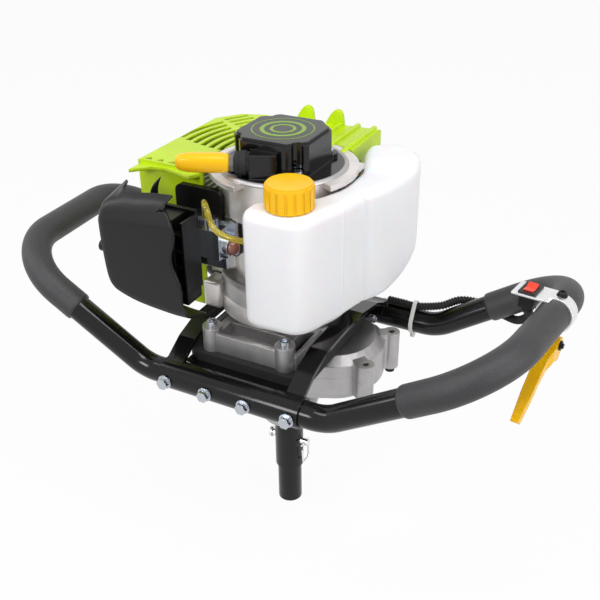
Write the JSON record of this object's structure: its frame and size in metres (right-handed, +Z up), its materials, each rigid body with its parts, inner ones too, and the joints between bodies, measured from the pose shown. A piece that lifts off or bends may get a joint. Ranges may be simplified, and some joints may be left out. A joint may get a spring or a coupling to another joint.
{
  "type": "earth auger power head",
  "caption": "Petrol earth auger power head with tube handles, two-stroke engine, recoil starter, fuel tank, centrifugal clutch and reduction gearbox that turns a stub shaft.",
  "frame": {"origin": "centre of the lower end of the auger shaft, on the output axis", "axes": "+Z up along the crank and output axis, +X to the handle with the throttle, -Y to the front bar with the bolt heads"},
  "size_m": [0.5488, 0.2754, 0.434],
  "materials": {
    "frame_black": "gloss black paint",
    "grip_foam": "speckled foam rubber",
    "zinc_steel": "zinc plated",
    "bright_pin": "bright plated",
    "black_screw": "black oxide",
    "pad_rubber": "black rubber",
    "cast_alloy": "as cast",
    "case_alloy": "as cast, warm grey",
    "machine_steel": "machined steel",
    "shoe_iron": "sintered",
    "muffler_steel": "heat dark steel",
    "hood_green": "glossy lime green",
    "black_plastic": "satin black",
    "gloss_black": "gloss black",
    "carb_zinc": "zinc casting",
    "foam": "open foam",
    "bulb": "soft bulb",
    "hose_yellow": "clear yellow",
    "tank_white": "milky polyethylene",
    "amber": "amber plastic",
    "white_nylon": "natural nylon",
    "rope": "braided cord",
    "plug_ceramic": "glazed ceramic and steel",
    "bright_sheet": "bright sheet",
    "red": "red rocker"
  },
  "bodies": {
    "machine": {"frame": "frame_black", "left_handle": "frame_black", "right_handle": "frame_black", "left_grip": "grip_foam", "right_grip": "grip_foam", "handle_bolts": "zinc_steel", "damper_pad": "pad_rubber", "clutch_housing": "cast_alloy", "housing_bolts": "zinc_steel", "input_bearing": "machine_steel", "gearbox_cover": "cast_alloy", "gearbox_housing": "cast_alloy", "gearbox_bolts": "black_screw", "output_bearings": "machine_steel", "output_seal": "pad_rubber", "crankcase": "case_alloy", "engine_cylinder": "case_alloy", "fan_housing": "cast_alloy", "ignition_coil": "black_plastic", "spark_plug": "plug_ceramic", "plug_boot": "pad_rubber", "engine_hood": "hood_green", "muffler": "muffler_steel", "intake_insulator": "black_plastic", "carburetor": "carb_zinc", "fuel_hose": "hose_yellow", "air_filter_base": "black_plastic", "filter_element": "foam", "air_filter_cover": "black_plastic", "fuel_tank": "tank_white", "tank_strip": "pad_rubber", "starter_cover": "gloss_black", "starter_screws": "zinc_steel", "rope_bush": "black_plastic", "switch_bracket": "bright_sheet", "switch_body": "black_plastic", "throttle_pin": "black_screw", "conduit": "pad_rubber", "cable_tie": "white_nylon"},
    "output": {"output_gear": "machine_steel", "output_shaft": "machine_steel", "auger_rod": "frame_black", "hitch_pin": "bright_pin", "pin_clip": "bright_pin"},
    "layshaft": {"layshaft": "machine_steel"},
    "drum": {"clutch_drum": "machine_steel"},
    "crank": {"crankshaft": "machine_steel", "flywheel": "machine_steel", "clutch_shoes": "shoe_iron"},
    "starter_grip": {"starter_grip": "amber"},
    "reel": {"starter_reel": "white_nylon", "starter_rope": "rope"},
    "fuel_cap": {"fuel_cap": "amber"},
    "filter_knob": {"filter_knob": "black_plastic"},
    "choke_lever": {"choke_lever": "black_plastic"},
    "primer_bulb": {"primer_bulb": "bulb"},
    "switch_rocker": {"switch_rocker": "red"},
    "throttle_lever": {"throttle_lever": "amber"}
  },
  "joints": [
    {"name": "output_spin", "type": "hinge", "parent": "machine", "child": "output", "pos_m": [0, 0, 0.1], "axis": [0, 0, 1], "continuous": true},
    {"name": "layshaft_spin", "type": "hinge", "parent": "machine", "child": "layshaft", "pos_m": [0.04314, 0.02104, 0.19], "axis": [0, 0, 1], "continuous": true},
    {"name": "drum_spin", "type": "hinge", "parent": "machine", "child": "drum", "pos_m": [0, 0, 0.225], "axis": [0, 0, 1], "continuous": true},
    {"name": "crank_spin", "type": "hinge", "parent": "machine", "child": "crank", "pos_m": [0, 0, 0.33], "axis": [0, 0, 1], "continuous": true},
    {"name": "starter_pull", "type": "slide", "parent": "machine", "child": "starter_grip", "axis": [-0.9135, -0.4067, 0], "range_m": [0, 0.7], "stiffness_N_per_m": 12, "springref_m": -0.3},
    {"name": "reel_spin", "type": "hinge", "parent": "machine", "child": "reel", "pos_m": [0, 0, 0.417], "axis": [0, 0, 1], "range_deg": [-1560, 0]},
    {"name": "cap_turn", "type": "hinge", "parent": "machine", "child": "fuel_cap", "pos_m": [0.043, -0.07, 0.405], "axis": [0, 0, 1], "range_deg": [0, 450]},
    {"name": "knob_turn", "type": "hinge", "parent": "machine", "child": "filter_knob", "pos_m": [-0.125, -0.11, 0.339], "axis": [-1, 0, 0], "range_deg": [0, 720]},
    {"name": "choke_swing", "type": "hinge", "parent": "machine", "child": "choke_lever", "pos_m": [-0.08, -0.0903, 0.383], "axis": [0, 1, 0], "range_deg": [0, 35]},
    {"name": "primer_press", "type": "slide", "parent": "machine", "child": "primer_bulb", "axis": [-1, 0, 0], "range_m": [0, 0.003], "stiffness_N_per_m": 500, "springref_m": -0.001},
    {"name": "rocker_tilt", "type": "hinge", "parent": "machine", "child": "switch_rocker", "pos_m": [0.23247, 0.01771, 0.3168], "axis": [0.9922, -0.1246, 0], "range_deg": [-14, 0]},
    {"name": "throttle_squeeze", "type": "hinge", "parent": "machine", "child": "throttle_lever", "pos_m": [0.25703, 0.01268, 0.27325], "axis": [-0.9922, 0.1246, 0], "range_deg": [0, 22], "stiffness_Nm_per_rad": 0.6, "springref_deg": -17.19}
  ],
  "couplings": [
    {"joint": "layshaft_spin", "follows": "output_spin", "ratio": -5},
    {"joint": "drum_spin", "follows": "output_spin", "ratio": 25},
    {"joint": "reel_spin", "follows": "starter_pull", "rad_per_m": -38.462}
  ]
}
